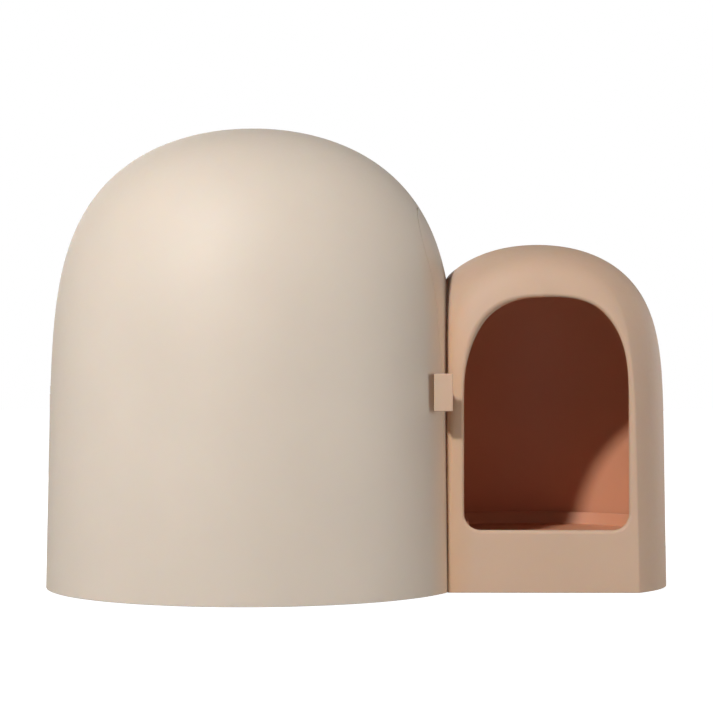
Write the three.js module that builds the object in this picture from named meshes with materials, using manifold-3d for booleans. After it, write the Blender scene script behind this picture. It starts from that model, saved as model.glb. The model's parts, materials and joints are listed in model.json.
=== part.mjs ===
// Cat litter box with a domed hood, a side-hung front door and an entry tunnel.
// Millimetres, +Z up, +X from the dome towards the tunnel, front at -Y.
// Everything is drawn about the dome's own axis, and one outer group then moves
// the origin to the middle of the footprint, on the floor.

import * as THREE from 'three';
import { mergeVertices } from 'three/addons/utils/BufferGeometryUtils.js';
import Module from 'manifold-3d';

const wasm = await Module();
wasm.setup();

// ---- driving dimensions ----------------------------------------------------

const WALL = 3;                 // shell thickness
const GAP = 0.4;                // air between neighbouring mouldings
const REST_GAP = 0.3;           // air between a piece and the one it rests on
const SHELL_Z = 0.8;            // lower edge of the outer shells above the floor
const PLATE_Z = 3;              // underside of the two floor mouldings
const FAR = 700;                // larger than the object, for cutting blocks
const PAST = 20;                // how far a cutter runs past what it cuts

// A body of revolution: a wall that leans in by draft millimetres per millimetre of
// height, then a full, rounded shoulder, which the powers n and m shape.
const DOME = { x: 0, y: 0, radius: 230, height: 509, straight: 124, draft: 0.0187, n: 4.46, m: 2.07 };
const TUNNEL = { x: 316.7, y: 14.7, radius: 144, height: 381, straight: 138, draft: 0.0143, n: 4.47, m: 2.1 };
const DOME_SEGMENTS = 60;
const TUNNEL_SEGMENTS = 40;
const PROFILE_STEPS = 14;       // rings up the rounded shoulder of either body

const FRONT_Y = -86.6;          // tunnel's flat front, and the door's edge beside it
const SIDE_X = 213;             // tunnel's flat left side
const HINGE_Y = 39;             // plane that parts the dome into door and rear shell
const JAMB = { top: 420, corner: 60, innerX: 100 };   // fixed strip beside the tunnel

const MOUTH = { x: 320, halfWidth: 88.5, bottom: 68, spring: 200, top: 318.6, corner: 18, power: 2.9 };
const PASSAGE = { y: 12, halfWidth: 80, bottom: 76, spring: 205, top: 290, corner: 18, power: 2.3 };
const COLLAR = { wall: 3, innerX: 200 };

const BASE = { thick: 3.5, frontRadius: 221, rearRadius: 226.3, ringRadius: 190, ringHeight: 6 };
const TRAY = { bottomRadius: 184, topRadius: 199, height: 108, wall: 2.5, rim: 6 };
const ENTRY = { low: 72, halfBottom: 76, halfTop: 98 };   // dip in the tray's rim at the passage
const TUB = { floorTop: 6.5, ledgeTop: 56, rimTop: 67.2, ledge: 9 };
const PANEL = { thick: 3.4, clearance: 4, rimHeight: 13.6, rimWidth: 4, sill: 67.2, sillDepth: 20 };

const HINGE = {
  x: -231.2, heights: [45, 205], half: 18, barrel: 4.2, bore: 1.85, pin: 1.75, pinHead: 3,
  pad: 2.5, padNear: 5, padFar: 25, web: 7, split: 9, play: 0.4,
};
const RIVET = { shank: 1.4, hole: 1.7, head: 2.8, y: 16, spread: 9, length: 3.5, headTall: 0.8 };
const TAB = { left: 198.3, right: 218.3, low: 196, high: 236, front: -121, thick: 3, stem: 6, back: -90 };
const TAB_SCREW = { fromEnd: 10, shank: 1.4, pilot: 1.6, hole: 1.8, head: 3, headTall: 2.5, seat: 8.5 };
const CATCH = { z: 216, half: 6, depth: 8, inset: 14 };

const BOSS = { ring: 219, angles: [30, 90, 150], radius: 9, top: 44, pilot: 2.1, pilotTop: 34 };
const BASE_SCREW = { shank: 1.8, hole: 2.3, top: 28, head: 4, headTall: 2.1 };
const LINK = { ys: [-40, 64], z: 38, hole: 2.3, shank: 1.9, head: 4.5, headTall: 3, seat: 1.2 };
const NUT = { radius: 4.4, bore: 2.2, tall: 3.2, seat: 1.6, screwPast: 7 };

const FOOT = { radius: 12, height: PLATE_Z - REST_GAP, ring: 175, angles: [45, 135, 225, 315] };
const TUNNEL_FEET = [[255, -60], [385, -60], [330, 120]];

// ---- materials ---------------------------------------------------------------

const material = (color, roughness, metalness = 0) =>
  new THREE.MeshStandardMaterial({ color, roughness, metalness });

const COLOURS = {
  beige: () => material(0xd9cbb8, 0.55),
  tan: () => material(0xc9a98c, 0.55),
  trayGrey: () => material(0x8f857b, 0.5),
  rubber: () => material(0x3a3633, 0.85),
  steel: () => material(0xb5b5b2, 0.35, 1),
};

// ---- solids --------------------------------------------------------------------

function toSolid(geometry) {
  const bare = geometry.clone();
  bare.deleteAttribute('normal');
  bare.deleteAttribute('uv');
  const merged = mergeVertices(bare, 1e-4);
  const index = merged.index.array;
  const triangles = [];
  for (let i = 0; i < index.length; i += 3) {
    const [a, b, c] = [index[i], index[i + 1], index[i + 2]];
    if (a !== b && b !== c && c !== a) triangles.push(a, b, c);
  }
  return new wasm.Manifold(new wasm.Mesh({
    numProp: 3,
    vertProperties: new Float32Array(merged.attributes.position.array),
    triVerts: new Uint32Array(triangles),
  }));
}

function toGeometry(solid) {
  const mesh = solid.getMesh();
  const geometry = new THREE.BufferGeometry();
  geometry.setAttribute('position', new THREE.BufferAttribute(new Float32Array(mesh.vertProperties), 3));
  geometry.setIndex(new THREE.BufferAttribute(new Uint32Array(mesh.triVerts), 1));
  geometry.computeVertexNormals();
  return geometry;
}

const union = (solids) => solids.reduce((sum, solid) => sum.add(solid));

function block(low, high) {
  const size = high.map((value, i) => value - low[i]);
  const box = new THREE.BoxGeometry(...size);
  box.translate(...low.map((value, i) => value + size[i] / 2));
  return toSolid(box);
}

function rod(axis, radius, from, to, across, segments = 20) {
  const cylinder = new THREE.CylinderGeometry(radius, radius, to - from, segments);
  if (axis === 'z') {
    cylinder.rotateX(Math.PI / 2);
    cylinder.translate(across[0], across[1], (from + to) / 2);
  } else if (axis === 'y') {
    cylinder.translate(across[0], (from + to) / 2, across[1]);
  } else {
    cylinder.rotateZ(Math.PI / 2);
    cylinder.translate((from + to) / 2, across[0], across[1]);
  }
  return toSolid(cylinder);
}

function lathe(points, segments, x = 0, y = 0) {
  const turned = new THREE.LatheGeometry(points, segments);
  turned.rotateX(Math.PI / 2);
  turned.translate(x, y, 0);
  return toSolid(turned);
}

// ---- the two bodies of revolution ------------------------------------------------

function bodyRadius(body, z, inset) {
  const top = body.height - inset;
  const rise = Math.min(Math.max((z - body.straight) / (top - body.straight), 0), 1);
  const drafted = body.radius - inset - body.draft * z;
  return drafted * Math.pow(1 - Math.pow(rise, body.n), 1 / body.m);
}

function bodySolid(body, inset, segments, bottom) {
  const top = body.height - inset;
  const points = [new THREE.Vector2(0, bottom), new THREE.Vector2(bodyRadius(body, bottom, inset), bottom)];
  for (let i = 0; i < PROFILE_STEPS; i += 1) {
    const share = i / PROFILE_STEPS;
    const z = body.straight + (top - body.straight) * (1 - Math.pow(1 - share, 2));
    points.push(new THREE.Vector2(bodyRadius(body, z, inset), z));
  }
  points.push(new THREE.Vector2(0, top));
  return lathe(points, segments, body.x, body.y);
}

// How far the dome's wall stands from its axis along X, at a given y and height.
const wallX = (y, z, inset) => Math.sqrt(Math.pow(bodyRadius(DOME, z, inset), 2) - y * y);

const domeSolid = (inset, bottom = -PAST) => bodySolid(DOME, inset, DOME_SEGMENTS, bottom);

function tunnelSolid(inset, bottom = -PAST) {
  const round = bodySolid(TUNNEL, inset, TUNNEL_SEGMENTS, bottom);
  return round.intersect(block([SIDE_X + inset, FRONT_Y + inset, -FAR], [FAR, FAR, FAR]));
}

// ---- outlines ----------------------------------------------------------------------

// Half-round arch of a superellipse over upright sides with rounded lower corners.
function archShape(spec, centre, grow = 0) {
  const half = spec.halfWidth + grow;
  const low = spec.bottom - grow;
  const rise = spec.top + grow - spec.spring;
  const corner = spec.corner + grow;
  const shape = new THREE.Shape();
  shape.moveTo(centre - half + corner, low);
  shape.lineTo(centre + half - corner, low);
  shape.absarc(centre + half - corner, low + corner, corner, -Math.PI / 2, 0, false);
  const steps = 18;
  for (let i = 0; i <= steps; i += 1) {
    const angle = Math.PI * i / steps;
    const across = Math.sign(Math.cos(angle)) * Math.pow(Math.abs(Math.cos(angle)), 2 / spec.power);
    const up = Math.pow(Math.sin(angle), 2 / spec.power);
    shape.lineTo(centre + half * across, spec.spring + rise * up);
  }
  shape.absarc(centre - half + corner, low + corner, corner, Math.PI, Math.PI * 1.5, false);
  return shape;
}

const extrude = (shape, depth) =>
  new THREE.ExtrudeGeometry(shape, { depth, bevelEnabled: false, curveSegments: 6 });

// Shape drawn across X and up, run along Y.
function alongY(shape, from, to) {
  const run = extrude(shape, to - from);
  run.rotateX(Math.PI / 2);
  run.translate(0, to, 0);
  return toSolid(run);
}

// Shape drawn across Y and up, run along X.
function alongX(shape, from, to) {
  const run = extrude(shape, to - from);
  run.rotateX(Math.PI / 2);
  run.rotateZ(Math.PI / 2);
  run.translate(from, 0, 0);
  return toSolid(run);
}

const mouthCut = () => alongY(archShape(MOUTH, MOUTH.x), FRONT_Y - PAST, FRONT_Y + PAST);
const passageCut = (grow) => alongX(archShape(PASSAGE, PASSAGE.y, grow), COLLAR.innerX - PAST, TUNNEL.x);

// Space beside the tunnel that belongs to the fixed rear shell and not to the door.
function jambBlock(grow) {
  const front = FRONT_Y - grow;
  const top = JAMB.top + grow;
  const shape = new THREE.Shape();
  shape.moveTo(FAR, -FAR);
  shape.lineTo(FAR, top);
  shape.lineTo(front + JAMB.corner, top);
  shape.absarc(front + JAMB.corner, top - JAMB.corner, JAMB.corner, Math.PI / 2, Math.PI, false);
  shape.lineTo(front, -FAR);
  return alongX(shape, JAMB.innerX, FAR);
}

// ---- dome: rear shell and door -----------------------------------------------------

const domeShell = () => domeSolid(0, SHELL_Z).subtract(domeSolid(WALL));
const behindDoor = () => block([-FAR, HINGE_Y + GAP / 2, -FAR], [FAR, FAR, FAR]);

const ringOf = ({ ring, angles }) => angles.map((degrees) => {
  const angle = degrees * Math.PI / 180;
  return [ring * Math.cos(angle), ring * Math.sin(angle)];
});
const BOSSES = ringOf(BOSS);
const TAB_SCREWS = [TAB.low + TAB_SCREW.fromEnd, TAB.high - TAB_SCREW.fromEnd];
const TAB_SCREW_X = TAB.left + TAB.stem / 2;

function linkHoles() {
  const [from, to] = [DOME.radius - 2 * PAST, DOME.radius + 2 * PAST];
  return union(LINK.ys.map((y) => rod('x', LINK.hole, from, to, [y, LINK.z], 14)));
}

function rearShell() {
  const plateTop = PLATE_Z + BASE.thick;
  const bosses = BOSSES.map((place) => rod('z', BOSS.radius, plateTop + REST_GAP, BOSS.top, place));
  const inside = union(bosses).intersect(domeSolid(WALL - 1));
  const pilots = BOSSES.map((place) => rod('z', BOSS.pilot, 0, BOSS.pilotTop, place, 14));
  return domeShell().intersect(behindDoor().add(jambBlock(-GAP / 2))).add(inside)
    .subtract(union(pilots)).subtract(linkHoles()).subtract(passageCut(COLLAR.wall + GAP));
}

function frontDoor() {
  const door = domeShell()
    .subtract(block([-FAR, HINGE_Y - GAP / 2, -FAR], [FAR, FAR, FAR]))
    .subtract(jambBlock(GAP / 2));
  const holes = TAB_SCREWS.map((z) =>
    rod('y', TAB_SCREW.hole, TAB.front, TAB.back + PAST, [TAB_SCREW_X, z], 14));
  return door.subtract(union(holes));
}

// Finger pull: a plate held off the door by a stem, reaching over the door's edge.
function doorTab() {
  const inner = TAB.front + TAB.thick;
  const stem = block([TAB.left, TAB.front, TAB.low], [TAB.left + TAB.stem, TAB.back, TAB.high]);
  const plate = block([TAB.left, TAB.front, TAB.low], [TAB.right, inner, TAB.high]);
  const pilots = TAB_SCREWS.map((z) =>
    rod('y', TAB_SCREW.pilot, inner, TAB.back + PAST, [TAB_SCREW_X, z], 14));
  return stem.subtract(domeSolid(-REST_GAP)).add(plate).subtract(union(pilots));
}

function tabScrew(z) {
  const wallY = -Math.sqrt(Math.pow(bodyRadius(DOME, CATCH.z, WALL), 2) - Math.pow(TAB_SCREW_X, 2));
  const seat = wallY + TAB_SCREW.seat;
  const shank = rod('y', TAB_SCREW.shank, TAB.front + TAB.thick + 2, seat + 0.5, [TAB_SCREW_X, z], 14);
  return shank.add(rod('y', TAB_SCREW.head, seat, seat + TAB_SCREW.headTall, [TAB_SCREW_X, z], 14));
}

// Magnet and strike plate that face each other across the door's edge.
function catchBlock(from, to) {
  const edgeX = Math.sqrt(Math.pow(bodyRadius(DOME, CATCH.z, WALL), 2) - FRONT_Y * FRONT_Y);
  const low = [edgeX - CATCH.inset, from, CATCH.z - CATCH.half];
  const bar = block(low, [edgeX + CATCH.inset, to, CATCH.z + CATCH.half]);
  return bar.intersect(domeSolid(WALL + REST_GAP));
}

const jambMagnet = () => catchBlock(FRONT_Y + REST_GAP, FRONT_Y + CATCH.depth);
const doorStrike = () => catchBlock(FRONT_Y - CATCH.depth, FRONT_Y - REST_GAP);

// ---- hinges ------------------------------------------------------------------------

const hingeAxis = [HINGE.x, HINGE_Y];
const padSkin = () => domeSolid(-REST_GAP - HINGE.pad).subtract(domeSolid(-REST_GAP));
const webBlock = (fromY, toY, low, high) =>
  block([HINGE.x - HINGE.barrel, fromY, low], [HINGE.x + 12, toY, high]).subtract(domeSolid(-REST_GAP));

function knuckle(low, high, side) {
  const reach = HINGE_Y + side * HINGE.web;
  const web = webBlock(Math.min(HINGE_Y, reach), Math.max(HINGE_Y, reach), low, high);
  return rod('z', HINGE.barrel, low, high, hingeAxis).add(web);
}

function hingePad(z, side) {
  const near = HINGE_Y + side * HINGE.padNear;
  const far = HINGE_Y + side * HINGE.padFar;
  const window = block([-FAR, Math.min(near, far), z - HINGE.half], [0, Math.max(near, far), z + HINGE.half]);
  const holes = rivetHeights(z).map((height) =>
    rod('x', RIVET.hole, HINGE.x - PAST, HINGE.x + PAST, [HINGE_Y + side * RIVET.y, height], 12));
  return padSkin().intersect(window).subtract(union(holes));
}

const rivetHeights = (z) => [z - RIVET.spread, z + RIVET.spread];
const hingeBore = (z) => rod('z', HINGE.bore, z - HINGE.half - PAST, z + HINGE.half + PAST, hingeAxis);

function hingeBracket(z) {
  const ends = [knuckle(z - HINGE.half, z - HINGE.split, 1), knuckle(z + HINGE.split, z + HINGE.half, 1)];
  return hingePad(z, 1).add(union(ends)).subtract(hingeBore(z));
}

function hingeLeaf(z) {
  const half = HINGE.split - HINGE.play;
  return hingePad(z, -1).add(knuckle(z - half, z + half, -1)).subtract(hingeBore(z));
}

function hingePin(z) {
  const top = z + HINGE.half;
  const head = rod('z', HINGE.pinHead, top + REST_GAP, top + 2, hingeAxis);
  return rod('z', HINGE.pin, z - HINGE.half, top + 1, hingeAxis).add(head);
}

// Short rivet that holds a hinge leaf to its shell.
function leafRivet(z, side) {
  const y = HINGE_Y + side * RIVET.y;
  const head = -wallX(y, z, 0) - HINGE.pad - 2.5;
  return rod('x', RIVET.head, head, head + RIVET.headTall, [y, z], 12)
    .add(rod('x', RIVET.shank, head + RIVET.headTall - 0.1, head + 0.7 + RIVET.length, [y, z], 12));
}

// ---- floor, tray and tunnel ----------------------------------------------------------

function basePlate() {
  const top = PLATE_Z + BASE.thick;
  const front = rod('z', BASE.frontRadius, PLATE_Z, top, [0, 0], DOME_SEGMENTS);
  const rear = rod('z', BASE.rearRadius, PLATE_Z, top, [0, 0], DOME_SEGMENTS)
    .intersect(block([-FAR, HINGE_Y + 4, -FAR], [FAR, FAR, FAR]));
  const ring = rod('z', BASE.ringRadius + WALL, PLATE_Z, top + BASE.ringHeight, [0, 0], DOME_SEGMENTS)
    .subtract(rod('z', BASE.ringRadius, top, top + PAST, [0, 0], DOME_SEGMENTS));
  const holes = BOSSES.map((place) => rod('z', BASE_SCREW.hole, 0, top + PAST, place, 14));
  return union([front, rear, ring]).subtract(union(holes));
}

function baseScrew(place) {
  const seat = PLATE_Z - REST_GAP;
  return rod('z', BASE_SCREW.shank, PLATE_Z - 1, BASE_SCREW.top, place, 12)
    .add(rod('z', BASE_SCREW.head, seat - BASE_SCREW.headTall, seat, place, 12));
}

function litterTray() {
  const z = PLATE_Z + BASE.thick + REST_GAP;
  const top = z + TRAY.height;
  const outline = [
    [0, z], [TRAY.bottomRadius, z],
    [TRAY.topRadius, top - TRAY.rim], [TRAY.topRadius + TRAY.rim, top - TRAY.rim],
    [TRAY.topRadius + TRAY.rim, top], [TRAY.topRadius - TRAY.wall, top],
    [TRAY.bottomRadius - TRAY.wall, z + TRAY.wall], [0, z + TRAY.wall],
  ].map(([r, h]) => new THREE.Vector2(r, h));
  const entry = new THREE.Shape();
  entry.moveTo(PASSAGE.y - ENTRY.halfBottom, ENTRY.low);
  entry.lineTo(PASSAGE.y + ENTRY.halfBottom, ENTRY.low);
  entry.lineTo(PASSAGE.y + ENTRY.halfTop, top + PAST);
  entry.lineTo(PASSAGE.y - ENTRY.halfTop, top + PAST);
  return lathe(outline, DOME_SEGMENTS).subtract(alongX(entry, TRAY.topRadius / 2, DOME.radius));
}

function passageCollar() {
  const ring = passageCut(COLLAR.wall).subtract(passageCut(0));
  const slice = block([COLLAR.innerX, -FAR, -FAR], [FAR, FAR, FAR]);
  return ring.intersect(slice).intersect(domeSolid(0));
}

function tunnelShell() {
  return tunnelSolid(0, SHELL_Z).subtract(tunnelSolid(WALL))
    .subtract(mouthCut()).subtract(domeSolid(-GAP)).subtract(passageCut(0));
}

const slab = (low, high) => block([-FAR, -FAR, low], [FAR, FAR, high]);

function tunnelBase() {
  const wall = WALL + GAP;
  const hollow = tunnelSolid(2 * wall).subtract(domeSolid(-wall - GAP)).intersect(slab(TUB.ledgeTop, FAR));
  const well = tunnelSolid(2 * wall + TUB.ledge).subtract(domeSolid(-wall - GAP - TUB.ledge))
    .intersect(slab(TUB.floorTop, FAR));
  return tunnelSolid(wall).intersect(slab(PLATE_Z, TUB.rimTop)).subtract(domeSolid(-GAP))
    .subtract(hollow).subtract(well).subtract(linkHoles());
}

function tunnelFloor() {
  const low = TUB.ledgeTop + REST_GAP;
  const plan = (inset) => tunnelSolid(WALL + PANEL.clearance + inset)
    .subtract(domeSolid(-WALL - PANEL.clearance - inset));
  const plate = plan(0).intersect(slab(low, low + PANEL.thick + PANEL.rimHeight));
  const aboveSill = block([-FAR, -FAR, PANEL.sill], [FAR, FRONT_Y + PANEL.sillDepth, FAR]);
  return plate.subtract(plan(PANEL.rimWidth).intersect(slab(low + PANEL.thick, FAR))).subtract(aboveSill);
}

// Screws and nuts that tie the tunnel's base to the rear shell.
function linkScrew(y) {
  const seat = wallX(y, LINK.z, -GAP - WALL - GAP - TUB.ledge) + LINK.seat;
  const tip = wallX(y, LINK.z, WALL) - NUT.screwPast;
  return rod('x', LINK.shank, tip, seat + 1, [y, LINK.z], 14)
    .add(rod('x', LINK.head, seat, seat + LINK.headTall, [y, LINK.z], 14));
}

function linkNut(y) {
  const seat = wallX(y, LINK.z, WALL) - NUT.seat;
  return rod('x', NUT.radius, seat - NUT.tall, seat, [y, LINK.z], 6)
    .subtract(rod('x', NUT.bore, seat - PAST, seat + PAST, [y, LINK.z], 14));
}

const rubberFoot = ([x, y]) => rod('z', FOOT.radius, 0, FOOT.height, [x, y], 24);

// ---- assembly ------------------------------------------------------------------------

const leftEdge = HINGE.x - HINGE.barrel;
const rightEdge = TUNNEL.x + TUNNEL.radius;
const assembly = new THREE.Group();
const aboutDome = new THREE.Group();
aboutDome.position.x = -(leftEdge + rightEdge) / 2;
assembly.add(aboutDome);

function place(name, solid, colour) {
  const mesh = new THREE.Mesh(toGeometry(solid), COLOURS[colour]());
  mesh.name = name;
  aboutDome.add(mesh);
}

function placeEach(name, spots, make, colour) {
  spots.forEach((spot, i) => place(`${name}_${i + 1}`, make(spot), colour));
}

place('base_plate', basePlate(), 'beige');
place('rear_shell', rearShell(), 'beige');
place('front_door', frontDoor(), 'beige');
place('door_tab', doorTab(), 'tan');
place('door_strike', doorStrike(), 'steel');
place('jamb_magnet', jambMagnet(), 'steel');
place('passage_collar', passageCollar(), 'tan');
place('litter_tray', litterTray(), 'trayGrey');
place('tunnel_shell', tunnelShell(), 'tan');
place('tunnel_base', tunnelBase(), 'tan');
place('tunnel_floor', tunnelFloor(), 'tan');

placeEach('base_screw', BOSSES, baseScrew, 'steel');
placeEach('tab_screw', TAB_SCREWS, tabScrew, 'steel');
placeEach('tunnel_screw', LINK.ys, linkScrew, 'steel');
placeEach('tunnel_nut', LINK.ys, linkNut, 'steel');
placeEach('dome_foot', ringOf(FOOT), rubberFoot, 'rubber');
placeEach('tunnel_foot', TUNNEL_FEET, rubberFoot, 'rubber');

['lower', 'upper'].forEach((level, i) => {
  const z = HINGE.heights[i];
  place(`hinge_bracket_${level}`, hingeBracket(z), 'beige');
  place(`door_hinge_leaf_${level}`, hingeLeaf(z), 'beige');
  place(`hinge_pin_${level}`, hingePin(z), 'steel');
  placeEach(`bracket_rivet_${level}`, rivetHeights(z), (height) => leafRivet(height, 1), 'steel');
  placeEach(`leaf_rivet_${level}`, rivetHeights(z), (height) => leafRivet(height, -1), 'steel');
});

export default assembly;
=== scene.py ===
import json
import math

import bmesh
import bpy
import numpy as np
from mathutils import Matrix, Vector


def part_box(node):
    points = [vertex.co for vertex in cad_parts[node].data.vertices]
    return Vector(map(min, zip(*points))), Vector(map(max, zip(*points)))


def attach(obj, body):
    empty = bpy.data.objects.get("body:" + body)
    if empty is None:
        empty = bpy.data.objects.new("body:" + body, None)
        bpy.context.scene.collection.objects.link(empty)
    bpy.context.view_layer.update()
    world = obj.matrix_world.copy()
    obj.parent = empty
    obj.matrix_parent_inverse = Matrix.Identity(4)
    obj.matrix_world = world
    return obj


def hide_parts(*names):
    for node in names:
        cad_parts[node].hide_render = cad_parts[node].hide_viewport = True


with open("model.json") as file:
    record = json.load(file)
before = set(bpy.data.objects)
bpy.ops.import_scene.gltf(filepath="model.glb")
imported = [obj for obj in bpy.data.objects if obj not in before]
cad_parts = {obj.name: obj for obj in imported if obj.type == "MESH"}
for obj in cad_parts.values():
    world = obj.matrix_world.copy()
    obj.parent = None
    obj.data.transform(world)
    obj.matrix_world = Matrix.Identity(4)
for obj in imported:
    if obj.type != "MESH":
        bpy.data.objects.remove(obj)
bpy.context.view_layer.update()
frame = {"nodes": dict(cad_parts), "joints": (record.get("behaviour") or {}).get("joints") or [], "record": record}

# ---- sizes, in metres ---------------------------------------------------------------

WALL = 0.003
GAP = 0.0004          # running gap between door and fixed shell
EDGE = 0.0007         # rounding of a shell's cut edge
LIP = 0.0042          # rolled edge of the tunnel mouth, thicker than the wall
SHELL_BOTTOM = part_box("rear_shell")[0].z


class Body:
    """A drafted upright wall that closes over the top in a superellipse."""

    def __init__(self, x, y, radius, height, straight, draft, power, root):
        self.x, self.y, self.radius, self.height = x, y, radius, height
        self.straight, self.draft, self.power, self.root = straight, draft, power, root

    def radius_at(self, z, inset=0.0):
        top = self.height - inset
        rise = np.clip((z - self.straight) / (top - self.straight), 0, 1)
        drafted = self.radius - inset - self.draft * z
        return drafted * (1 - rise ** self.power) ** (1 / self.root)

    def level(self, v, inset=0.0, upright=0.3):
        """Height at v: even steps up the wall, then steps that shorten towards the top."""
        top = self.height - inset
        low = SHELL_BOTTOM + EDGE
        wall = low + (self.straight - low) * v / upright
        share = np.clip((v - upright) / (1 - upright), 0, 1)
        cap = self.straight + (top - self.straight) * (1 - (1 - share) ** 2)
        return np.where(v <= upright, wall, cap)


plate_low, plate_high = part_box("base_plate")
door_low, door_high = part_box("front_door")
tunnel_low, tunnel_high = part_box("tunnel_shell")
TUNNEL_RADIUS = 0.144
AXIS_X = (plate_low.x + plate_high.x) / 2
DOME = Body(x=AXIS_X, y=0, radius=-door_low.y, height=door_high.z,
            straight=0.124, draft=0.0187, power=4.46, root=2.07)
TUNNEL = Body(x=tunnel_high.x - TUNNEL_RADIUS, y=tunnel_high.y - TUNNEL_RADIUS, radius=TUNNEL_RADIUS,
              height=tunnel_high.z, straight=0.138, draft=0.0143, power=4.47, root=2.1)
FRONT_Y = tunnel_low.y
SIDE_X = AXIS_X + 0.213
HINGE_Y = door_high.y + GAP / 2
CONTACT_Y = 0.084       # behind this the dome's wall leaves the tunnel's side
JAMB_TOP, JAMB_CORNER, JAMB_X = 0.420, 0.060, AXIS_X + 0.100


class Arch:
    """Upright sides with rounded lower corners under a half superellipse."""

    def __init__(self, centre, half, bottom, spring, top, corner, power):
        self.centre, self.half, self.bottom, self.spring = centre, half, bottom, spring
        self.top, self.corner, self.power = top, corner, power

    def distance(self, across, up):
        """Signed distance from the outline, positive outside it."""
        a = np.abs(across - self.centre)
        sides = a - (self.half - self.corner)
        floor = self.bottom + self.corner - up
        box = np.minimum(np.maximum(sides, floor), 0) - self.corner
        box = box + np.hypot(np.maximum(sides, 0), np.maximum(floor, 0))
        rise = self.top - self.spring
        p = self.power
        u, w = a / self.half + 1e-9, np.maximum(up - self.spring, 0) / rise + 1e-9
        total = u ** p + w ** p
        slope = total ** (1 / p - 1) * np.hypot(u ** (p - 1) / self.half, w ** (p - 1) / rise)
        return np.where(up < self.spring, box, (total ** (1 / p) - 1) / slope)

    def outline(self, count, grow=0.0):
        """Points round the outline, anticlockwise from the middle of the bottom."""
        half, low, corner = self.half + grow, self.bottom - grow, self.corner + grow
        rise = self.top + grow - self.spring
        turns = np.linspace(0, math.pi / 2, 8)
        right = [(half - corner + corner * math.sin(t), low + corner - corner * math.cos(t)) for t in turns]
        angles = np.linspace(0, math.pi / 2, 30)
        share = 2 / self.power
        right += [(half * math.cos(t) ** share, self.spring + rise * math.sin(t) ** share) for t in angles]
        path = np.array([(0, low)] + right + [(-x, z) for x, z in right[-2::-1]] + [(0, low)])
        length = np.concatenate([[0], np.cumsum(np.hypot(*np.diff(path, axis=0).T))])
        even = np.linspace(0, length[-1], count, endpoint=False)
        return np.interp(even, length, path[:, 0]) + self.centre, np.interp(even, length, path[:, 1])


MOUTH = Arch(centre=AXIS_X + 0.320, half=0.0885, bottom=0.068, spring=0.200, top=0.3186,
             corner=0.018, power=2.9)
PASSAGE = Arch(centre=0.012, half=0.080, bottom=0.076, spring=0.205, top=0.290, corner=0.018, power=2.3)
COLLAR_WALL = 0.003

# ---- meshes ---------------------------------------------------------------------------


def merge(*parts):
    """Several (points, normals, faces) as one."""
    points, normals, faces, count = [], [], [], 0
    for p, n, f in parts:
        points.append(np.asarray(p, float))
        normals.append(np.asarray(n, float))
        faces += [[i + count for i in face] for face in f]
        count += len(p)
    return np.concatenate(points), np.concatenate(normals), faces


def piece(name, part, material, body, slot, *nodes):
    """Makes the object that stands for the named CAD nodes and rides on their body."""
    points, normals, faces = part
    mesh = bpy.data.meshes.new(name)
    mesh.from_pydata([tuple(p) for p in points], [], faces)
    mesh.polygons.foreach_set("use_smooth", [True] * len(mesh.polygons))
    mesh.update()
    mesh.normals_split_custom_set_from_vertices([tuple(n) for n in normals])
    mesh.materials.append(material)
    made = bpy.data.objects.new(name, mesh)
    bpy.context.scene.collection.objects.link(made)
    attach(made, body)
    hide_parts(*nodes)
    return made


def unit(vectors):
    return vectors / np.maximum(np.linalg.norm(vectors, axis=-1, keepdims=True), 1e-12)


def soft_min(a, b, width):
    blend = np.maximum(width - np.abs(a - b), 0) / width
    return np.minimum(a, b) - blend * blend * width / 4


def crossing(value, a, b):
    """Share of the way from a to b at which value changes sign."""
    low, high = np.zeros(len(a)), np.ones(len(a))
    positive = value(a) > 0
    for _ in range(24):
        mid = (low + high) / 2
        same = (value(a + (b - a) * mid[:, None]) > 0) == positive
        low, high = np.where(same, mid, low), np.where(same, high, mid)
    return (low + high) / 2


SNAP = 0.34


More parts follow.
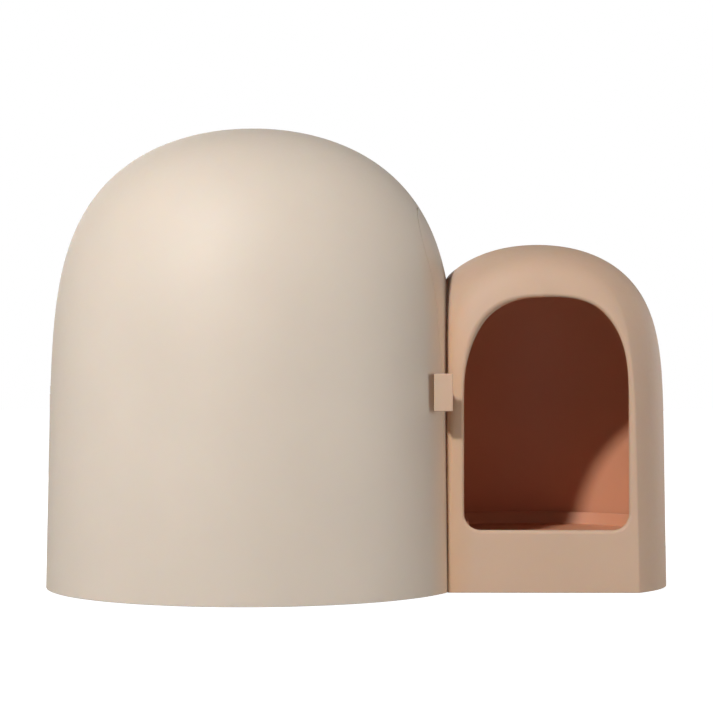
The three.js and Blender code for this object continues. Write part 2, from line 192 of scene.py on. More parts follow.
def trim(surface, us, vs, keep, closed, pole):
    """Cuts a grid over (u, v) back to where keep is positive. Corners within SNAP of a step from
    the cut slide onto it, so no sliver is left. Returns the (u, v) of each point and the faces."""
    cols, rows = len(us), len(vs)
    grid = np.stack(np.meshgrid(us, vs, indexing="ij"), -1)

    def value(uv):
        return keep(surface(uv[:, 0], uv[:, 1], 0.0))

    level = value(grid.reshape(-1, 2)).reshape(cols, rows)
    snapped = np.zeros((cols, rows), bool)
    spans = cols if closed else cols - 1
    steps = [((i, j), ((i + 1) % cols, j), i + 1 == cols) for i in range(spans) for j in range(rows)]
    steps += [((i, j), (i, j + 1), False) for i in range(cols) for j in range(rows - 1)]
    cut = [s for s in steps if (level[s[0]] > 0) != (level[s[1]] > 0)]
    cuts = {}
    if cut:
        start = np.array([grid[a] for a, _, _ in cut])
        end = np.array([grid[b] + (wrap, 0) for _, b, wrap in cut])
        share = crossing(value, start, end)
        nearest = {}
        for (a, b, wrap), s, p, q in zip(cut, share, start, end):
            where = p + (q - p) * s
            cuts[a, b] = where
            for corner, gap, shift in ((a, s, 0), (b, 1 - s, wrap)):
                if gap < nearest.get(corner, (SNAP,))[0] and not (pole and corner[1] == rows - 1):
                    nearest[corner] = (gap, where - (shift, 0))
        for corner, (_, where) in nearest.items():
            grid[corner] = where
            snapped[corner] = True
    found, index, faces = [], {}, []

    def point(key, uv):
        if key not in index:
            index[key] = len(found)
            found.append(uv)
        return index[key]

    for i in range(spans):
        for j in range(rows - 1):
            n = (i + 1) % cols
            corners = [(i, j), (n, j), (n, j + 1), (i, j + 1)]
            if not any(level[c] > 0 and not snapped[c] for c in corners):
                continue
            face = []
            for a, b in zip(corners, corners[1:] + corners[:1]):
                if snapped[a] or level[a] > 0:
                    at_pole = pole and a[1] == rows - 1
                    face.append(point("pole" if at_pole else a, grid[a]))
                if not snapped[a] and not snapped[b] and (level[a] > 0) != (level[b] > 0):
                    key = (a, b) if (a, b) in cuts else (b, a)
                    face.append(point(key, cuts[key]))
            face = [f for k, f in enumerate(face) if f != face[k - 1]]
            if len(face) > 2:
                faces.append(face)
    return np.array(found), faces


def lie(surface, uv, inset):
    """Points of the surface at (u, v) and their outward normals."""
    u, v, step = uv[:, 0], uv[:, 1], 2e-4
    below, above = np.maximum(v - step, 0), np.minimum(v + step, 1)
    along = surface(u + step, v, inset) - surface(u - step, v, inset)
    up = surface(u, above, inset) - surface(u, below, inset)
    normals = unit(np.cross(along, up))
    flat = np.linalg.norm(along, axis=1) < 1e-8
    normals[flat] = (0, 0, 1)
    return surface(u, v, inset), normals


def rims(faces):
    """Directed edges that only one face uses."""
    used = {(a, b) for f in faces for a, b in zip(f, f[1:] + f[:1])}
    return [(a, b) for a, b in used if (b, a) not in used]


def shell(surface, us, vs, keep, wall, edge, closed=True, pole=False, inside=None):
    """A wall of even thickness over the part of the surface that keep leaves.
    edge(points) gives the radius of its cut edges, and inside(outer, inner) may move the inner wall."""
    uv, faces = trim(surface, us, vs, keep, closed, pole)
    outer, outward = lie(surface, uv, 0.0)
    inner, normal = lie(surface, uv, wall)
    if inside is not None:
        inner = inside(outer, inner)
    border = sorted(rims(faces))
    away = np.zeros_like(outer)
    for a, b in border:
        side = np.cross(outer[b] - outer[a], outward[a])
        away[a] += side
        away[b] += side
    ring = sorted({a for way in border for a in way})
    place = {a: k for k, a in enumerate(ring)}
    out, back = outer[ring], inner[ring]
    away, face_out = unit(away[ring]), outward[ring]
    size = edge(out)[:, None]
    depth = size / wall
    rear = np.where(depth > 0.5, 1 - depth, depth)
    points, normals = [outer], [outward]
    turns = np.radians([18, 36, 54, 72, 90])
    bends = [(t, 1) for t in turns] + [(t, -1) for t in turns[::-1]]
    for t, side in bends:
        share = depth * (1 - math.cos(t)) if side > 0 else 1 - rear * (1 - math.cos(t))
        points.append(out + (back - out) * share + away * size * math.sin(t))
        normals.append(unit(face_out * side * math.cos(t) + away * math.sin(t)))
    points.append(inner)
    normals.append(-normal)
    start = len(outer)
    layers = [ring] + [[start + k * len(ring) + m for m in range(len(ring))] for k in range(len(bends))]
    base = start + len(bends) * len(ring)
    layers.append([base + a for a in ring])
    built = list(faces) + [[base + a for a in reversed(f)] for f in faces]
    for a, b in border:
        i, j = place[a], place[b]
        built += [[near[j], near[i], far[i], far[j]] for near, far in zip(layers, layers[1:])]
    return np.concatenate(points), np.concatenate(normals), built


def rounded(path, radius, steps=4, closed=False):
    """A profile with its corners turned into arcs, as (a, b, normal a, normal b).
    The normals lie to the right of the way."""
    path = [np.array(p, float) for p in path]
    count = len(path)
    made = []
    for i, corner in enumerate(path):
        if not closed and i in (0, count - 1):
            way = path[1] - path[0] if i == 0 else path[-1] - path[-2]
            way = way / np.linalg.norm(way)
            made.append((*corner, way[1], -way[0]))
            continue
        before, after = corner - path[i - 1], path[(i + 1) % count] - corner
        lengths = np.linalg.norm(before), np.linalg.norm(after)
        before, after = before / lengths[0], after / lengths[1]
        turn = math.atan2(before[0] * after[1] - before[1] * after[0], before @ after)
        if abs(turn) < 1e-3:
            made.append((*corner, before[1], -before[0]))
            continue
        reach = min(radius * math.tan(abs(turn) / 2), 0.48 * min(lengths))
        bend = reach / math.tan(abs(turn) / 2)
        first = math.atan2(-before[0], before[1])
        normal = np.array([before[1], -before[0]])
        centre = corner - before * reach - normal * bend * np.sign(turn)
        for k in range(steps + 1):
            angle = first + turn * k / steps
            facing = np.array([math.cos(angle), math.sin(angle)])
            made.append((*(centre + facing * bend * np.sign(turn)), *facing))
    return made


def loft(profile, plan, closed=False):
    """Sweeps a profile round a plan. plan(a) gives the ring of (x, y) and its outward (x, y)."""
    points, normals, faces = [], [], []
    for a, z, na, nz in profile:
        ring, facing = plan(a)
        count = len(ring)
        points.append(np.column_stack([ring, np.full(count, z)]))
        normals.append(unit(np.column_stack([facing * na, np.full(count, nz)])))
    rings = len(profile)
    for k in range(rings if closed else rings - 1):
        low, high = k * count, (k + 1) % rings * count
        faces += [[low + i, low + (i + 1) % count, high + (i + 1) % count, high + i] for i in range(count)]
    if not closed:
        faces.append(list(range(count))[::-1])
        faces.append([(rings - 1) * count + i for i in range(count)])
    return np.concatenate(points), np.concatenate(normals), faces


def circle(x, y, count, radius=None):
    """Plan of a turned piece about (x, y); radius(a, angles) may bend the ring out of round."""
    angles = np.arange(count) * 2 * math.pi / count
    facing = np.column_stack([np.cos(angles), np.sin(angles)])

    def plan(a):
        reach = np.full(count, a) if radius is None else radius(a, angles)
        return facing * reach[:, None] + (x, y), facing
    return plan


def turned(path, radius, x=0.0, y=0.0, count=64, closed=False, bend=None, steps=4):
    return loft(rounded(path, radius, steps, closed), circle(x, y, count, bend), closed)


def aimed(part, origin, axis):
    """Turns a part made along +Z to run along axis from origin."""
    points, normals, faces = part
    turn = np.array(Vector(axis).to_track_quat("Z", "Y").to_matrix())
    return points @ turn.T + np.array(origin), normals @ turn.T, faces


def rounded_block(low, high, radius):
    low, high = np.array(low, float), np.array(high, float)
    made = bmesh.new()
    bmesh.ops.create_cube(made, size=1.0)
    for v in made.verts:
        v.co = Vector((low + high) / 2 + np.array(v.co) * (high - low))
    bmesh.ops.bevel(made, geom=made.edges[:], offset=radius, segments=3, profile=0.5, affect="EDGES")
    points = np.array([v.co[:] for v in made.verts])
    faces = [[v.index for v in f.verts] for f in made.faces]
    made.free()
    core = np.clip(points, low + radius, high - radius)
    return points, unit(points - core), faces


# ---- materials ------------------------------------------------------------------------


def nodes_of(name):
    made = bpy.data.materials.new(name)
    made.use_nodes = True
    tree = made.node_tree
    return made, tree, tree.nodes["Principled BSDF"]


def noise(tree, scale, detail=2.0, stretch=(1, 1, 1)):
    where = tree.nodes.new("ShaderNodeTexCoord")
    spread = tree.nodes.new("ShaderNodeMapping")
    spread.inputs["Scale"].default_value = stretch
    grain = tree.nodes.new("ShaderNodeTexNoise")
    grain.inputs["Scale"].default_value = scale
    grain.inputs["Detail"].default_value = detail
    tree.links.new(where.outputs["Object"], spread.inputs["Vector"])
    tree.links.new(spread.outputs["Vector"], grain.inputs["Vector"])
    return grain.outputs["Fac"]


def ranged(tree, source, low, high, start=0.3, end=0.7):
    made = tree.nodes.new("ShaderNodeMapRange")
    made.inputs["From Min"].default_value = start
    made.inputs["From Max"].default_value = end
    made.inputs["To Min"].default_value = low
    made.inputs["To Max"].default_value = high
    tree.links.new(source, made.inputs["Value"])
    return made.outputs["Result"]


def mottled(tree, colour, spread, scale):
    """The colour, a little lighter and darker from place to place."""
    mix = tree.nodes.new("ShaderNodeMix")
    mix.data_type = "RGBA"
    mix.inputs["A"].default_value = (*[c * (1 - spread) for c in colour], 1)
    mix.inputs["B"].default_value = (*[min(c * (1 + spread), 1) for c in colour], 1)
    tree.links.new(ranged(tree, noise(tree, scale, 3), 0, 1), mix.inputs["Factor"])
    return mix.outputs["Result"]


def bumped(tree, *layers):
    """Chains bumps; each layer is (height, strength, distance)."""
    last = None
    for height, strength, distance in layers:
        bump = tree.nodes.new("ShaderNodeBump")
        bump.inputs["Strength"].default_value = strength
        bump.inputs["Distance"].default_value = distance
        tree.links.new(height, bump.inputs["Height"])
        if last:
            tree.links.new(last, bump.inputs["Normal"])
        last = bump.outputs["Normal"]
    return last


def moulded(name, colour, rough, spread=0.02, glow=0.0):
    """Satin moulded plastic: a fine spark-eroded grain over a faint unevenness of the mould.
    glow is the share of light that enters the plastic and comes out nearby, redder."""
    made, tree, shader = nodes_of(name)
    tree.links.new(mottled(tree, colour, spread, 9), shader.inputs["Base Color"])
    tree.links.new(ranged(tree, noise(tree, 240, 3), rough - 0.04, rough + 0.05), shader.inputs["Roughness"])
    grain = bumped(tree, (noise(tree, 16, 2), 0.25, 0.0004), (noise(tree, 1500, 2), 0.16, 0.00012))
    tree.links.new(grain, shader.inputs["Normal"])
    shader.inputs["Specular IOR Level"].default_value = 0.35
    shader.inputs["Subsurface Weight"].default_value = glow
    shader.inputs["Subsurface Radius"].default_value = (1.0, 0.35, 0.12)
    shader.inputs["Subsurface Scale"].default_value = 0.008
    return made


def zinc(name):
    """Bright plated steel with the fine turning marks of a fastener."""
    made, tree, shader = nodes_of(name)
    tree.links.new(mottled(tree, (0.62, 0.61, 0.58), 0.08, 60), shader.inputs["Base Color"])
    tree.links.new(ranged(tree, noise(tree, 500, 4), 0.26, 0.42), shader.inputs["Roughness"])
    marks = bumped(tree, (noise(tree, 900, 3, (1, 1, 6)), 0.2, 0.00008))
    tree.links.new(marks, shader.inputs["Normal"])
    shader.inputs["Metallic"].default_value = 1.0
    return made


def soft_rubber(name):
    made, tree, shader = nodes_of(name)
    tree.links.new(mottled(tree, (0.045, 0.04, 0.036), 0.2, 80), shader.inputs["Base Color"])
    tree.links.new(ranged(tree, noise(tree, 300, 3), 0.72, 0.88), shader.inputs["Roughness"])
    tree.links.new(bumped(tree, (noise(tree, 1100, 3), 0.35, 0.0002)), shader.inputs["Normal"])
    return made


def maths(tree, operation, *values):
    """One step of arithmetic on sockets or plain numbers."""
    made = tree.nodes.new("ShaderNodeMath")
    made.operation = operation
    for socket, value in zip(made.inputs, values):
        if isinstance(value, bpy.types.NodeSocket):
            tree.links.new(value, socket)
        else:
            socket.default_value = value
    return made.outputs["Value"]


def painted_bounce_glow(material, colour, x, y, reach, top):
    """Blends the colour in close to the upright line at (x, y), below top, as painted bounce light.
    It stands for the warm light that two mouldings of different colours throw on each other."""
    fade = 0.08
    tree = material.node_tree
    shader = tree.nodes["Principled BSDF"]
    plain = shader.inputs["Base Color"].links[0].from_socket
    split = tree.nodes.new("ShaderNodeSeparateXYZ")
    tree.links.new(tree.nodes.new("ShaderNodeTexCoord").outputs["Object"], split.inputs["Vector"])
    aside = maths(tree, "SUBTRACT", split.outputs["X"], x)
    ahead = maths(tree, "SUBTRACT", split.outputs["Y"], y)
    squares = maths(tree, "ADD", maths(tree, "MULTIPLY", aside, aside), maths(tree, "MULTIPLY", ahead, ahead))
    near = ranged(tree, maths(tree, "SQRT", squares), 0.75, 0, 0.0, reach)
    below = ranged(tree, split.outputs["Z"], 1, 0, top - fade, top)
    mix = tree.nodes.new("ShaderNodeMix")
    mix.data_type = "RGBA"
    mix.inputs["B"].default_value = (*colour, 1)
    tree.links.new(maths(tree, "MULTIPLY", near, below), mix.inputs["Factor"])
    tree.links.new(plain, mix.inputs["A"])
    tree.links.new(mix.outputs["Result"], shader.inputs["Base Color"])
    return material


BEIGE = moulded("beige_plastic", (0.53, 0.452, 0.375), 0.58, glow=0.15)
# Painted bounce light: warm tint on the dome beside its seam with the tunnel's front
BEIGE = painted_bounce_glow(BEIGE, (0.62, 0.41, 0.27), SIDE_X, FRONT_Y, 0.04, 0.43)
TAN = moulded("tan_plastic", (0.475, 0.325, 0.23), 0.62, glow=0.25)
# Painted bounce light: warm tint on the tunnel's front beside its seam with the dome
TAN = painted_bounce_glow(TAN, (0.50, 0.30, 0.17), SIDE_X, FRONT_Y, 0.03, 0.36)
# Redder copy of the tan plastic for the tunnel's inside: painted bounce light, the same plastic as outside
TAN_PAINTED_BOUNCE = moulded("tan_plastic_painted_bounce", (0.56, 0.25, 0.14), 0.5, glow=0.2)
GREY = moulded("tray_plastic", (0.26, 0.215, 0.18), 0.36)
STEEL = zinc("zinc_steel")
RUBBER = soft_rubber("foot_rubber")

# ---- dome -----------------------------------------------------------------------------

DOME_ROWS, DOME_COLUMNS = 96, 200


def dome_surface(u, v, inset):
    z = DOME.level(v, inset)
    r = DOME.radius_at(z, inset)
    return np.column_stack([DOME.x + r * np.cos(2 * math.pi * u), r * np.sin(2 * math.pi * u), z])


def jamb_distance(p):
    """Signed distance from the fixed strip beside the tunnel, positive outside it."""
    front = FRONT_Y - p[:, 1] + JAMB_CORNER
    above = p[:, 2] - JAMB_TOP + JAMB_CORNER
    away = np.minimum(np.maximum(front, above), 0) + np.hypot(np.maximum(front, 0), np.maximum(above, 0))
    return np.where(p[:, 0] > JAMB_X, away - JAMB_CORNER, 1.0)


def door_depth(p):
    """Distance inside the door's outline, its corner above the tunnel rounded."""
    return soft_min(HINGE_Y - p[:, 1], jamb_distance(p), 0.012)


def in_door(p):
    return door_depth(p) - GAP / 2 - EDGE


def in_rear(p):
    fixed = -door_depth(p) - GAP / 2
    opening = PASSAGE.distance(p[:, 1], p[:, 2]) - COLLAR_WALL - GAP
    return np.where(p[:, 0] > JAMB_X, np.minimum(fixed, opening), fixed) - EDGE


def even_edge(points):
    return np.full(len(points), EDGE)


def dome_piece(keep):
    us = np.arange(DOME_COLUMNS) / DOME_COLUMNS
    vs = np.linspace(0, 1, DOME_ROWS)
    return shell(dome_surface, us, vs, keep, WALL, even_edge, pole=True)


def screw_bosses():
    """Posts inside the rear shell that take the base's screws."""
    low, high = plate_high.z - 0.0055, 0.044
    posts = []
    for n in (1, 2, 3):
        a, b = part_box(f"base_screw_{n}")
        x, y = (a.x + b.x) / 2, (a.y + b.y) / 2
        posts.append(turned([(0, low), (0.0088, low), (0.0085, high), (0, high)], 0.0015, x, y, 40))
    return merge(*posts)


# ---- tunnel ---------------------------------------------------------------------------

CREASE, CREASE_TOP = 0.0016, 0.030
LEFT_FADE, RIGHT_FADE = (0.16, 0.36), (0.24, 0.40)       # heights over which each crease softens


def smooth_step(x, low, high):
    t = np.clip((x - low) / (high - low), 0, 1)
    return t * t * (3 - 2 * t)


def tunnel_reach(angle, z, inset):
    """Plan distance from the tunnel's axis to its wall; the creases soften towards the top."""
    fade = np.where(np.cos(angle) < 0, smooth_step(z, *LEFT_FADE), smooth_step(z, *RIGHT_FADE))
    width = CREASE + (CREASE_TOP - CREASE) * fade
    front = (TUNNEL.y - FRONT_Y - inset) / np.maximum(-np.sin(angle), 1e-3)
    side = (TUNNEL.x - SIDE_X - inset) / np.maximum(-np.cos(angle), 1e-3)
    return soft_min(soft_min(TUNNEL.radius_at(z, inset), front, width), side, np.minimum(width, 0.008))


def tunnel_angle(u, z):
    """Columns of points gather at the creases, which move with height."""
    radius = TUNNEL.radius_at(z)
    front = np.arcsin(np.minimum((TUNNEL.y - FRONT_Y) / np.maximum(radius, 1e-4), 0.86))
    side = np.arccos(np.minimum((TUNNEL.x - SIDE_X) / np.maximum(radius, 1e-4), 0.86))
    knots = np.stack([-math.pi + front, -front, math.pi - side, math.pi + side, math.pi + front])
    shares = (0.0, 0.36, 0.84, 0.96, 1.0)
    turns = np.floor(u)
    u = u - turns
    angle = np.zeros_like(u)
    for k in range(4):
        span = (u - shares[k]) / (shares[k + 1] - shares[k])
        gathered = span - 0.11 * np.sin(2 * math.pi * span)
        here = (span >= 0) & (span <= 1)
        angle = np.where(here, knots[k] + (knots[k + 1] - knots[k]) * gathered, angle)
    return angle + turns * 2 * math.pi


def tunnel_surface(u, v, inset):
    z = TUNNEL.level(v, inset, 0.36)
    angle = tunnel_angle(u, TUNNEL.level(v, 0.0, 0.36))
    reach = tunnel_reach(angle, z, inset)
    return np.column_stack([TUNNEL.x + reach * np.cos(angle), TUNNEL.y + reach * np.sin(angle), z])


def near_mouth(p):
    return (p[:, 1] < TUNNEL.y - 0.05) & (p[:, 0] > SIDE_X + 0.003)


def in_tunnel(p):
    x, y, z = p.T
    dome = np.hypot(x - DOME.x, y) - DOME.radius_at(z) - GAP - EDGE
    passage = np.maximum(PASSAGE.distance(y, z) - EDGE, y - CONTACT_Y)
    way = np.where(x < SIDE_X + 0.01, passage, 1.0)
    mouth = np.where(near_mouth(p), MOUTH.distance(x, z) - LIP, 1.0)
    return np.minimum(np.minimum(dome, way), mouth)


def tunnel_edge(p):
    at_mouth = near_mouth(p) & (np.abs(MOUTH.distance(p[:, 0], p[:, 2]) - LIP) < 5e-4)
    return np.where(at_mouth, LIP, EDGE)


def straight_back(outer, inner):
    """On the flat front the inner wall lies straight behind the outer one."""
    flat = 1 - smooth_step(outer[:, 1] - FRONT_Y, 0.0002, 0.003)
    behind = outer + (0, WALL, 0)
    return inner + (behind - inner) * flat[:, None]


def tunnel_piece():
    us = np.arange(230) / 230
    return shell(tunnel_surface, us, np.linspace(0, 1, 116), in_tunnel, WALL, tunnel_edge,
                 pole=True, inside=straight_back)


def paint_bounce_inside(made, material):
    """Gives the inner wall a redder copy of the tan plastic: painted bounce light that stands for light thrown
    round inside the tunnel.
    """
    made.data.materials.append(material)
    axis = Vector((TUNNEL.x, TUNNEL.y, 0.1))
    for face in made.data.polygons:
        inward = (face.center - axis).normalized().dot(face.normal) < -0.35
        if inward and face.center.y > FRONT_Y + 0.8 * WALL:
            face.material_index = 1


def tunnel_plan(z, dome_gap):
    """Plan of the tunnel outside the dome, set in by a on every side."""
    steps, arc_steps = 150, 60

    def ring(a):
        angles = np.linspace(-math.pi + 0.5, math.pi - 0.35, 1500)
        reach = tunnel_reach(angles, np.full(len(angles), z), a)
        x, y = TUNNEL.x + reach * np.cos(angles), TUNNEL.y + reach * np.sin(angles)
        circle_radius = DOME.radius_at(z) + dome_gap + a
        free = np.hypot(x - DOME.x, y) >= circle_radius
        x, y = x[free], y[free]
        first = math.atan2(y[0], x[0] - DOME.x)
        last = math.atan2(y[-1], x[-1] - DOME.x)
        arc = np.linspace(last, first, arc_steps + 2)[1:-1]
        length = np.concatenate([[0], np.cumsum(np.hypot(np.diff(x), np.diff(y)))])
        even = np.linspace(0, length[-1], steps)
        outline = np.column_stack([np.interp(even, length, x), np.interp(even, length, y)])
        inner = np.column_stack([DOME.x + circle_radius * np.cos(arc), circle_radius * np.sin(arc)])
        return np.concatenate([outline, inner])

    def plan(a):
        points = ring(a)
        way = np.roll(points, -1, 0) - np.roll(points, 1, 0)
        return points, unit(np.column_stack([way[:, 1], -way[:, 0]]))
    return plan


def inset_loft(path, radius, plan):
    """Loft whose profile is (inset, height), from the middle of the underside to the middle of the top."""
    return loft([(-a, z, na, nz) for a, z, na, nz in rounded([(-a, z) for a, z in path], radius)], plan)


PANEL_PLAY = 0.004


def floor_panel():
    """Tray-like panel; its rim drops behind the mouth's sill."""
    low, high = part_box("tunnel_floor")
    rim, height, centre, sill = 0.003, 0.0136, 0.045, 0.0669
    path = [(centre, low.z), (0, low.z), (0, high.z), (rim, high.z), (rim + 0.004, high.z - height),
            (centre, high.z - height)]
    path = [(a + WALL + PANEL_PLAY, z) for a, z in path]
    points, normals, faces = inset_loft(path, 0.001, tunnel_plan(low.z, 0.0))
    drop = (high.z - sill) * (1 - smooth_step(points[:, 1], FRONT_Y + 0.022, FRONT_Y + 0.045))
    share = np.clip((points[:, 2] - high.z + height) / height, 0, 1)
    points[:, 2] -= drop * share
    return points, normals, faces


def tub():
    low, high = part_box("tunnel_base")
    wall, ledge, ledge_top, floor, centre = WALL + GAP, 0.009, 0.056, 0.0065, 0.050
    path = [(centre, low.z), (wall, low.z), (wall, high.z), (2 * wall, high.z), (2 * wall, ledge_top),
            (2 * wall + ledge, ledge_top), (2 * wall + ledge, floor), (centre, floor)]
    return inset_loft(path, 0.0011, tunnel_plan(low.z, GAP - wall))


# ---- passage collar, tray and base ------------------------------------------------------


def collar():
    """Arched sleeve that lines the way from the tunnel into the dome."""
    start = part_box("passage_collar")[0].x
    count = 160

    def surface(u, v, inset):
        y, z = PASSAGE.outline(count, COLLAR_WALL - inset)
        turns = u * count
        y = np.interp(turns, np.arange(-1, count + 2), y[np.arange(-1, count + 2) % count])
        z = np.interp(turns, np.arange(-1, count + 2), z[np.arange(-1, count + 2) % count])
        dome_wall = DOME.x + np.sqrt(DOME.radius_at(z) ** 2 - y ** 2) - EDGE
        end = np.maximum(dome_wall, SIDE_X - GAP)
        return np.column_stack([start + EDGE + (end - start - EDGE) * v, y, z])
    us = np.arange(count) / count
    return shell(surface, us, np.linspace(0, 1, 8), lambda p: np.ones(len(p)), COLLAR_WALL, even_edge)


def tray():
    """Turned pan with a rolled rim, lower where the cat steps in."""
    low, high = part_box("litter_tray")
    rim_radius = (high.x - low.x) / 2
    bottom, top, wall, flange = rim_radius - 0.021, rim_radius - 0.006, 0.0025, 0.0075
    path = rounded([(0.004, low.z), (bottom, low.z), (top, high.z - wall), (rim_radius - wall, high.z - wall),
                    (rim_radius - wall, high.z - flange)], 0.007, 8)
    profile = np.array(path)
    length = np.concatenate([[0], np.cumsum(np.hypot(*np.diff(profile[:, :2], axis=0).T))])
    length /= length[-1]

    def surface(u, v, inset):
        a, z, na, nz = (np.interp(v, length, profile[:, k]) for k in range(4))
        size = np.hypot(na, nz)
        r, z = a - inset * na / size, z - inset * nz / size
        return np.column_stack([DOME.x + r * np.cos(2 * math.pi * u), r * np.sin(2 * math.pi * u), z])

    def keep(p):
        entry = 0.072
        reach = 0.076 + np.maximum(p[:, 2] - entry, 0) * 0.5
        sides = np.abs(p[:, 1] - PASSAGE.centre) - reach
        return np.where(p[:, 0] > DOME.x + 0.1, np.maximum(sides, entry - p[:, 2]), 1.0) - EDGE
    us = np.arange(180) / 180
    steps = np.unique(np.concatenate([length, np.linspace(0, 1, 60)]))
    return shell(surface, us, steps, keep, wall, even_edge)


def base():
    """Round plate with a raised ring that keeps the tray in place."""
    low, ring_top = plate_low.z, plate_high.z
    top = ring_top - 0.006
    front, rear, ring = 0.221, plate_high.y, 0.190

    def bend(a, angles):
        outer = np.where(np.sin(angles) * rear > HINGE_Y + 0.004, a + rear - front, a)
        return np.where(a > ring + WALL + 0.004, outer, a)
    path = [(0.002, low), (front, low), (front, top), (ring + WALL, top), (ring + WALL, ring_top),
            (ring, ring_top), (ring, top), (0.002, top)]
    return turned(path, 0.0012, DOME.x, 0, 240, bend=bend)


# ---- hinges, catch and fasteners ----------------------------------------------------------

HINGE = next(j for j in frame["joints"] if j["name"] == "door_swing")
HINGE_X = HINGE["pos_m"][0]
BARREL = 0.0042
PAD_SKIN, PAD_CLEAR, PAD_EDGE = 0.0025, 0.0003, 0.0008
PIN = 0.00175


def hinge_pad(z, side):
    """Curved plate that lies on the dome's wall beside the hinge."""
    middle, width, half, corner = HINGE_Y + side * 0.015, 0.010, 0.018, 0.004

    def surface(u, v, inset):
        height = z - half * 1.1 + half * 2.2 * v
        y = HINGE_Y + side * (0.0275 * (1 - u if side > 0 else u) + 0.001)
        r = DOME.radius_at(height) + PAD_CLEAR + PAD_SKIN - inset
        return np.column_stack([DOME.x - np.sqrt(r * r - y * y), y, height])

    def keep(p):
        a = np.abs(p[:, 1] - middle) - (width - corner)
        b = np.abs(p[:, 2] - z) - (half - corner)
        away = np.minimum(np.maximum(a, b), 0) + np.hypot(np.maximum(a, 0), np.maximum(b, 0))
        return corner - away - PAD_EDGE
    us, vs = np.linspace(0, 1, 26), np.linspace(0, 1, 36)
    return shell(surface, us, vs, keep, PAD_SKIN, lambda p: np.full(len(p), PAD_EDGE), closed=False)


def knuckle(low, high, side):
    """Part of the hinge's barrel and the web that holds it to its pad."""
    bore = PIN + 0.0001
    path = [(bore, low), (BARREL, low), (BARREL, high), (bore, high)]
    barrel = turned(path, 0.0005, HINGE_X, HINGE_Y, 48, closed=True)
    y = sorted((HINGE_Y + side * 0.0024, HINGE_Y + side * 0.0085))
    reach = np.sqrt((DOME.radius_at(high) + PAD_CLEAR) ** 2 - HINGE_Y ** 2)
    web = rounded_block((HINGE_X - BARREL + 0.0008, y[0], low), (DOME.x - reach - 0.0006, y[1], high), 0.0006)
    return merge(barrel, web)


def bracket(z):
    return merge(hinge_pad(z, 1), knuckle(z - 0.018, z - 0.009, 1), knuckle(z + 0.009, z + 0.018, 1))


def leaf(z):
    return merge(hinge_pad(z, -1), knuckle(z - 0.0086, z + 0.0086, -1))


def pin(z):
    top, head, core = z + 0.018, 0.003, 0.0002
    path = [(core, z - 0.018), (PIN, z - 0.018), (PIN, top + 0.0003), (head, top + 0.0003),
            (head, top + 0.002), (core, top + 0.002)]
    return turned(path, 0.0006, HINGE_X, HINGE_Y, 40)


def fastener(name, way, head):
    """Round-headed screw or rivet in its node's box. way points from its head to its tip."""
    low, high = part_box(name)
    size = np.array(high - low)
    way = np.array(way, float)
    length = abs(size @ way)
    radius = (size @ (1 - abs(way))) / 4
    start = np.array(low + high) / 2 - way * length / 2
    core, shank = 0.0003, radius * 0.5
    path = [(core, 0), (radius, 0), (radius, head), (shank, head), (shank, length), (core, length)]
    return aimed(turned(path, shank, count=36, steps=6), start, way)


def foot(name):
    low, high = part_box(name)
    radius = (high.x - low.x) / 2
    dish = 0.0006
    path = [(0.0005, low.z + dish), (radius * 0.55, low.z + dish), (radius * 0.62, low.z), (radius, low.z),
            (radius * 0.97, high.z), (0.0005, high.z)]
    return turned(path, 0.0006, (low.x + high.x) / 2, (low.y + high.y) / 2, 56)


def tab():
    """Finger pull: a plate on a stem, reaching over the door's edge."""
    low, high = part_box("door_tab")
    thick, stem = 0.003, 0.006
    plate = rounded_block(low, (high.x, low.y + thick, high.z), 0.0009)
    post = rounded_block((low.x + 0.0002, low.y + 0.001, low.z + 0.0002),
                         (low.x + stem, high.y - 0.0012, high.z - 0.0002), 0.0008)
    return merge(plate, post)


# ---- put together ---------------------------------------------------------------------

piece("door_moulding", dome_piece(in_door), BEIGE, "door", "beige_shell", "front_door")
hood = merge(dome_piece(in_rear), screw_bosses())
piece("hood_moulding", hood, BEIGE, "cabinet", "beige_shell", "rear_shell")
tunnel_object = piece("tunnel_moulding", tunnel_piece(), TAN, "cabinet", "tan_shell", "tunnel_shell")
paint_bounce_inside(tunnel_object, TAN_PAINTED_BOUNCE)
# Tub and floor panel take the redder copy of the tan plastic: painted bounce light inside the tunnel
piece("tunnel_tub", tub(), TAN_PAINTED_BOUNCE, "cabinet", "tan_shell", "tunnel_base")
piece("tunnel_panel", floor_panel(), TAN_PAINTED_BOUNCE, "floor_panel", "tan_shell", "tunnel_floor")
piece("passage_sleeve", collar(), TAN, "cabinet", "tan_shell", "passage_collar")
piece("litter_pan", tray(), GREY, "cabinet", "tray", "litter_tray")
piece("base_disc", base(), BEIGE, "cabinet", "beige_shell", "base_plate")
piece("finger_pull", tab(), TAN, "door", "tan_shell", "door_tab")

for level_name in ("lower", "upper"):
    node = f"hinge_bracket_{level_name}"
    low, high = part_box(node)
    middle = (low.z + high.z) / 2
    piece(f"bracket_{level_name}", bracket(middle), BEIGE, "cabinet", "beige_shell", node)
    piece(f"leaf_{level_name}", leaf(middle), BEIGE, "door", "beige_shell", f"door_hinge_leaf_{level_name}")
    piece(f"pin_{level_name}", pin(middle), STEEL, "cabinet", "steel", f"hinge_pin_{level_name}")

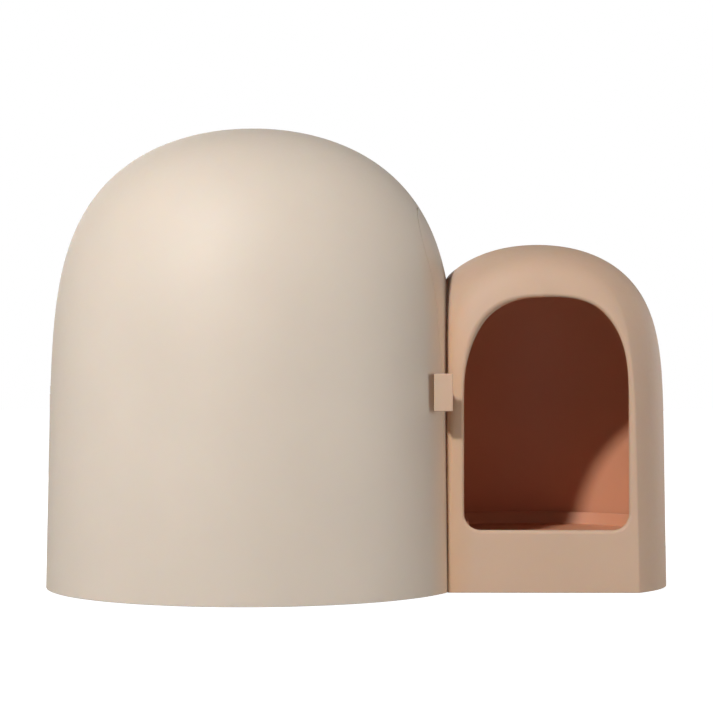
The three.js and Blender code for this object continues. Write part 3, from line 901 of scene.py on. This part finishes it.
# body, way from head to tip, height of the head
FASTENERS = {
    "base_screw": ("cabinet", (0, 0, 1), 0.0024),
    "tunnel_screw": ("cabinet", (-1, 0, 0), 0.0022),
    "tab_screw": ("door", (0, -1, 0), 0.0022),
    "leaf_rivet": ("door", (1, 0, 0), 0.0012),
    "bracket_rivet": ("cabinet", (1, 0, 0), 0.0012),
}
for name in frame["nodes"]:
    if "foot" in name:
        piece(f"pad_{name}", foot(name), RUBBER, "cabinet", "rubber", name)
    kind = name.rsplit("_", 2 if "rivet" in name else 1)[0]
    if kind in FASTENERS:
        body, way, head = FASTENERS[kind]
        piece(f"turned_{name}", fastener(name, way, head), STEEL, body, "steel", name)

MATERIALS = {"beige_shell": BEIGE, "tan_shell": TAN, "tray": GREY, "steel": STEEL, "rubber": RUBBER}
for part in frame["record"]["subparts"]:
    if part["material_slot"] in MATERIALS:
        mesh = frame["nodes"][part["node"]].data
        mesh.materials.clear()
        mesh.materials.append(MATERIALS[part["material_slot"]])

# ---- stage ------------------------------------------------------------------------------

scene = bpy.context.scene
scene.view_settings.view_transform = "Standard"
scene.render.film_transparent = False


SKY_LOW, SKY_HIGH, FLOOR_GLOW = 0.20, 0.10, 1.0


def seen(tree, strength, otherwise=None):
    """One strength for what the camera sees straight on and another for the light it gives."""
    path = tree.nodes.new("ShaderNodeLightPath")
    made = ranged(tree, path.outputs["Is Camera Ray"], 0, strength, 0, 1)
    if otherwise:
        tree.links.new(otherwise, made.node.inputs["To Min"])
    return made


def sky():
    world = bpy.data.worlds.new("studio")
    world.use_nodes = True
    background = world.node_tree.nodes["Background"]
    background.inputs["Color"].default_value = (1, 1, 1, 1)
    tree = world.node_tree
    split = tree.nodes.new("ShaderNodeSeparateXYZ")
    tree.links.new(tree.nodes.new("ShaderNodeTexCoord").outputs["Generated"], split.inputs["Vector"])
    glow = ranged(tree, split.outputs["Z"], SKY_LOW, SKY_HIGH, 0, 1)
    tree.links.new(seen(tree, 1.0, glow), background.inputs["Strength"])
    scene.world = world


def floor():
    """White sweep: a plain diffuse floor that the camera sees almost evenly white."""
    made = bpy.data.meshes.new("floor")
    size = 14.0
    corners = [(-size, -size, 0), (size, -size, 0), (size, size, 0), (-size, size, 0)]
    made.from_pydata(corners, [], [(0, 1, 2, 3)])
    ground = bpy.data.objects.new("floor", made)
    scene.collection.objects.link(ground)
    material, tree, shader = nodes_of("floor_white")
    tree.links.new(mottled(tree, (0.45, 0.45, 0.45), 0.004, 3), shader.inputs["Base Color"])
    shader.inputs["Roughness"].default_value = 0.9
    shader.inputs["Specular IOR Level"].default_value = 0.1
    shader.inputs["Emission Color"].default_value = (1, 1, 1, 1)
    tree.links.new(seen(tree, FLOOR_GLOW), shader.inputs["Emission Strength"])
    made.materials.append(material)


def lamp(name, direction, distance, size, power):
    """Round area light that looks at the middle of the object."""
    data = bpy.data.lights.new(name, "AREA")
    data.shape, data.size, data.energy = "DISK", size, power
    made = bpy.data.objects.new(name, data)
    scene.collection.objects.link(made)
    target = Vector((0, 0, 0.25))
    made.location = target + Vector(direction).normalized() * distance
    made.rotation_euler = (target - made.location).to_track_quat("-Z", "Y").to_euler()


def camera():
    """Long lens, a hair above level and turned slightly left, as the photo was taken."""
    lens = bpy.data.cameras.new("camera")
    lens.lens, lens.sensor_width = 101.9, 36
    made = bpy.data.objects.new("camera", lens)
    scene.collection.objects.link(made)
    made.location = (0.03393, -2.2583, 0.22653)
    made.rotation_euler = (math.pi / 2 + 0.0139, 0, 0.0142)
    scene.camera = made


sky()
floor()
lamp("key", (-0.386, -0.712, 0.587), 3.0, 0.24, 90)
lamp("left", (-1, -0.2, 0.05), 2.5, 1.2, 13)
lamp("right", (1, -0.6, 0.05), 2.5, 1.2, 25)
lamp("rear", (1, 0.9, 0.1), 2.5, 1.2, 12)
lamp("back", (-0.35, 1, 0.3), 2.8, 1.6, 16)
camera()
